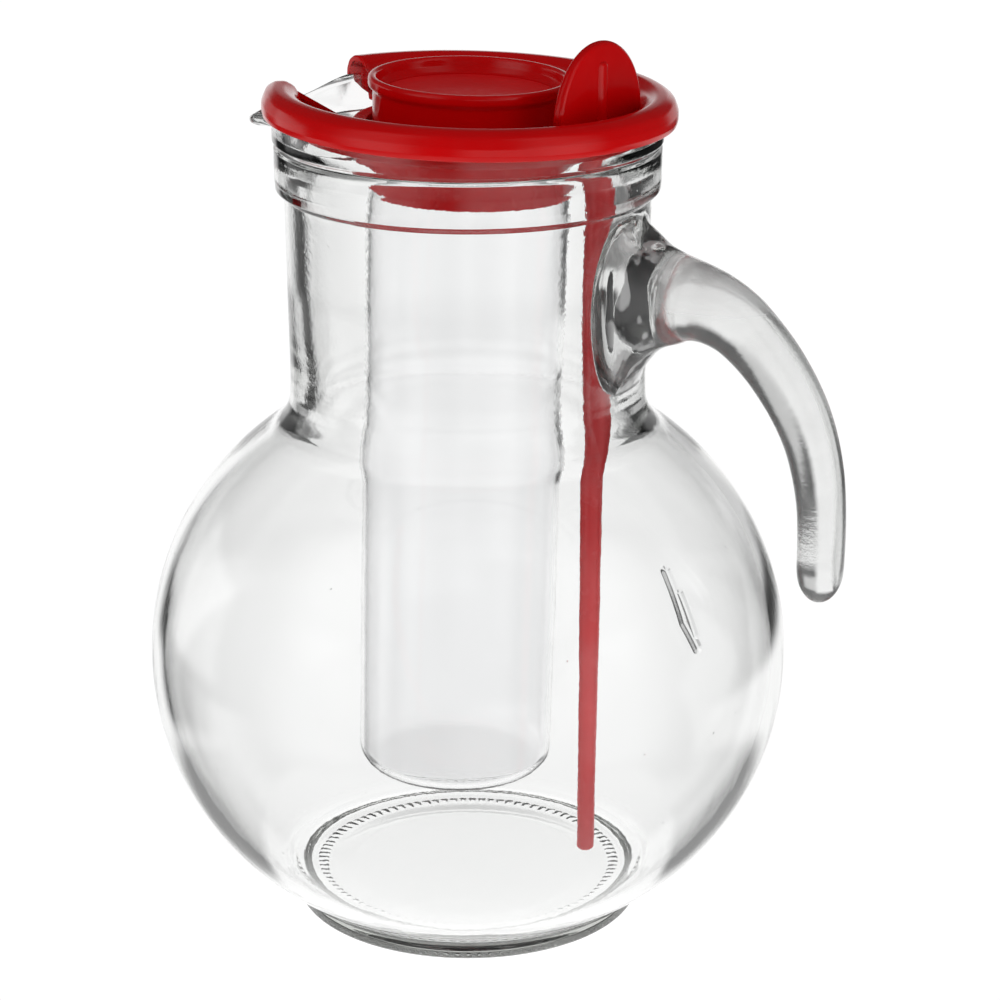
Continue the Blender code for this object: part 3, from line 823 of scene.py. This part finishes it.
# Faces of the recessed top disc get the second material, the lighter red with painted sheen.
picks = []
for face in faces:
    mid = np.mean([points[i] for i in face], 0)
    picks.append(1 if mid[2] > 216.5 and mid[2] < 216.65 and math.hypot(mid[0], mid[1]) < 21.3 else 0)
cap = make("stopper", leaned(points), faces, [RED_CAP, RED_SATIN_PAINTED_SHEEN], picks)
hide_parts("tube_cap")
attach(cap, "cap")


# ---------------------------------------------------------------- the stirrer

STIR_X, TAB_OFF = 35.2, 0.6
TWIST = math.radians(-8.0)
ALONG = np.array((-math.sin(TWIST), math.cos(TWIST), 0.0))
OUT = np.array((math.cos(TWIST), math.sin(TWIST), 0.0))


def tab_outline(by):
    half_w, mid_z, top = 18.0, 213.6, 232.2
    found = []
    for i in range(97):
        t = math.pi * i / 96
        found.append(((half_w - by) * math.cos(t), mid_z + (top - mid_z - by) * math.sin(t)))
    low = rounded([(-(half_w - by), mid_z), (-(half_w - by) + 1.9, 210.4, 2.5), (-12.5, 208.4 + 0.3 * by, 3.0), (0.0, 208.4 + by)], 0.8)[1:-1]
    return found + low + [(0.0, 208.4 + by)] + [(-u, z) for u, z in reversed(low)]


rings = []
for k in range(13):
    t = math.pi * k / 12
    by = 1.4 * (1.0 - math.sin(t))
    side = -1.4 * math.cos(t)
    rings.append([np.array((STIR_X, 0.0, z)) + ALONG * u + OUT * (TAB_OFF + side) for u, z in tab_outline(by)])
n = len(rings[0])
points = [tuple(p) for ring in rings for p in ring]
faces = [(i * n + k, i * n + (k + 1) % n, (i + 1) * n + (k + 1) % n, (i + 1) * n + k) for i in range(len(rings) - 1) for k in range(n)]
faces.append(list(range(n)))
faces.append([(len(rings) - 1) * n + k for k in reversed(range(n))])
tab = make("stirrer_tab", points, faces, [RED_STIR])
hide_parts("stirrer")
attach(tab, "stirrer")

rod_profile = rounded([(0.0, 17.5), (2.25, 17.5, 1.6), (3.3, 204.4, 4.0), (3.3, 210.0, 1.0), (1.0, 214.4, 0.8), (0.0, 214.7)], 4.0, 8)
points, faces = lathe(rod_profile, 48)
# The rod wears the lighter copy of the red, with painted light and painted reflection.
rod = make("stirrer_rod", [(x + STIR_X, y, z) for x, y, z in points], faces, [RED_ROD_PAINTED_LIGHT])
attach(rod, "stirrer")

# A low soft rib up the tab's face, sunk into it.
rib_profile = rounded([(0.0, 210.6), (2.6, 210.6, 2.55), (2.6, 227.4, 2.55), (0.0, 227.4)], 0.6, 12)
points, faces = lathe(rib_profile, 72)
at = np.array((STIR_X, 0.0, 0.0)) + OUT * (TAB_OFF + 1.4 - 1.75)
points = [at + OUT * (x if x > 0.9 else 0.9 + 0.12 * (x - 0.9)) + ALONG * y + np.array((0.0, 0.0, z)) for x, y, z in points]
rib = make("stirrer_rib", [tuple(p) for p in points], faces, [RED_STIR])
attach(rib, "stirrer")


# ---------------------------------------------------------------- studio

# The floor: a pale round sheet, lit from inside a little so that it stays as white as the room's lower half, with a
# painted pool of light under the jug.
floor_points, floor_faces = [(0.0, 0.0, 0.0)], []
for i in range(128):
    t = 2 * math.pi * i / 128
    front = math.sin(math.radians(CAM_AZ)) * math.cos(t) - math.cos(math.radians(CAM_AZ)) * math.sin(t)
    ease = min(1.0, max(0.0, (front - 0.3) / 0.4))
    reach = 66.0 + 176.0 * ease * ease * (3.0 - 2.0 * ease)
    floor_points.append((reach * math.cos(t), reach * math.sin(t), 0.0))
for i in range(128):
    floor_faces.append((0, 1 + i, 1 + (i + 1) % 128))
PALE, tree, s = node_material("floor_pale")
s.inputs["Base Color"].default_value = (0.05, 0.05, 0.05, 1.0)
s.inputs["Roughness"].default_value = 0.9
s.inputs["Specular IOR Level"].default_value = 0.0
s.inputs["Emission Color"].default_value = (1.0, 1.0, 1.0, 1.0)
where = add_node(tree, "ShaderNodeTexCoord")
away = add_node(tree, "ShaderNodeVectorMath", operation="LENGTH")
tree.links.new(where.outputs["Object"], away.inputs[0])
# Inside the foot the floor glows brighter, 1.12 against 0.99 further out. This is a painted pool of light under the
# jug, which lifts its shadow and brightens the base seen through the glass.
tree.links.new(spread(tree, away.outputs["Value"], 0.046, 0.068, 1.12, 0.99, True), s.inputs["Emission Strength"])
# Its edge fades out softly.
edge = add_node(tree, "ShaderNodeUVMap")
edge.uv_map = "out"
ways = add_node(tree, "ShaderNodeSeparateXYZ")
tree.links.new(edge.outputs["UV"], ways.inputs[0])
tree.links.new(spread(tree, ways.outputs["X"], 0.74, 0.99, 1.0, 0.0, True), s.inputs["Alpha"])
floor = make("floor", floor_points, floor_faces, [PALE])
out = floor.data.uv_layers.new(name="out")
for loop in floor.data.loops:
    spot = floor.data.vertices[loop.vertex_index].co
    out.data[loop.index].uv = (0.0 if spot.length < 1e-6 else 1.0, 0.0)
floor.location.z = -0.0002

world = bpy.data.worlds.new("studio")
bpy.context.scene.world = world
world.use_nodes = True
tree = world.node_tree
tree.nodes.clear()
out = tree.nodes.new("ShaderNodeOutputWorld")
back = tree.nodes.new("ShaderNodeBackground")
back.inputs["Color"].default_value = (1.0, 1.0, 1.0, 1.0)
tree.links.new(back.outputs[0], out.inputs[0])


def math_node(op, a, b=None, c=None):
    node = add_node(tree, "ShaderNodeMath", operation=op)
    for i, v in enumerate((a, b, c)):
        if v is None:
            continue
        if isinstance(v, (int, float)):
            node.inputs[i].default_value = v
        else:
            tree.links.new(v, node.inputs[i])
    return node.outputs[0]


way = add_node(tree, "ShaderNodeSeparateXYZ")
tree.links.new(add_node(tree, "ShaderNodeTexCoord").outputs["Generated"], way.inputs[0])
wx, wy, wz = way.outputs
EL = math_node("ARCSINE", wz)
AZ = math_node("ARCTAN2", wx, math_node("MULTIPLY", wy, -1.0))


def span(value, low, high, soft):
    """1 between low and high, with soft edges, in radians."""
    up = spread(tree, value, low - soft, low + soft, 0.0, 1.0, True)
    down = spread(tree, value, high - soft, high + soft, 1.0, 0.0, True)
    return math_node("MULTIPLY", up, down)


def panel(light, beta, half, el_low, el_high, soft_az, soft_el, value):
    """Lays a soft-edged panel over the room's light. beta is its bearing from the camera's side, to the right, in degrees."""
    off = math_node("WRAP", math_node("SUBTRACT", AZ, math.radians(CAM_AZ + beta)), math.pi, -math.pi)
    across = span(off, math.radians(-half), math.radians(half), math.radians(soft_az))
    tall = span(EL, math.radians(el_low), math.radians(el_high), math.radians(soft_el))
    mask = math_node("MULTIPLY", across, tall)
    return math_node("ADD", light, math_node("MULTIPLY", mask, math_node("SUBTRACT", value, light)))


# A dark studio with a white sweep behind, a soft box on each side of the camera, and dimmer walls elsewhere.
light = spread(tree, EL, math.radians(-40.0), math.radians(-30.0), 0.9, 0.05, True)
light = panel(light, 185.5, 88.0, -95.0, -17.5, 12.0, 2.0, 1.0)
light = panel(light, 227.5, 32.0, -60.0, -28.5, 5.0, 2.5, 0.3)
light = panel(light, 132.5, 32.0, -60.0, -28.5, 5.0, 2.5, 0.3)
light = panel(light, 15.0, 19.0, -28.0, 3.0, 8.0, 4.0, 0.92)
light = panel(light, 152.0, 13.5, -9.5, 8.0, 5.0, 2.5, 0.64)
light = panel(light, 185.5, 22.5, -20.0, 12.0, 5.5, 5.0, 1.03)
light = panel(light, 233.0, 19.5, -27.0, -8.0, 4.0, 2.5, 0.05)
light = panel(light, 243.0, 16.0, -13.0, 13.0, 4.0, 2.5, 0.92)
light = panel(light, 217.0, 9.0, -8.0, 10.0, 4.0, 2.5, 0.42)
light = panel(light, -53.0, 18.0, -26.0, 22.0, 14.0, 6.0, 1.3)
light = panel(light, 52.0, 19.0, -28.0, 22.0, 14.0, 6.0, 1.3)
light = panel(light, -56.0, 18.0, 22.0, 62.0, 14.0, 8.0, 0.65)
light = panel(light, 52.0, 19.0, 22.0, 58.0, 14.0, 8.0, 0.6)
# The sweep itself is plain white wherever it is looked at past the glass.
paths = add_node(tree, "ShaderNodeLightPath")
seen = paths.outputs["Is Camera Ray"]
light = math_node("ADD", light, math_node("MULTIPLY", seen, math_node("SUBTRACT", 1.03, light)))
# A soft fill reaches dull surfaces only.
light = math_node("ADD", light, math_node("MULTIPLY", math_node("MINIMUM", paths.outputs["Diffuse Depth"], 1.0), 0.37))
tree.links.new(light, back.inputs["Strength"])

scene = bpy.context.scene
scene.view_settings.view_transform = "Standard"
scene.view_settings.look = "None"
scene.cycles.max_bounces = 24
scene.cycles.transmission_bounces = 24
scene.cycles.glossy_bounces = 12
scene.cycles.diffuse_bounces = 4
scene.cycles.sample_clamp_indirect = 6.0

# ---------------------------------------------------------------- camera

cam = bpy.data.cameras.new("camera")
camera = bpy.data.objects.new("camera", cam)
scene.collection.objects.link(camera)
a = math.radians(CAM_AZ)
camera.location = (math.sin(a) * 0.7535, -math.cos(a) * 0.7535, 0.3646)
camera.rotation_euler = (math.radians(90.0 - 18.71), 0.0, a)
cam.sensor_width = 36.0
cam.lens = 110.3
cam.shift_x = 0.032
cam.clip_start, cam.clip_end = 0.05, 50.0
scene.camera = camera
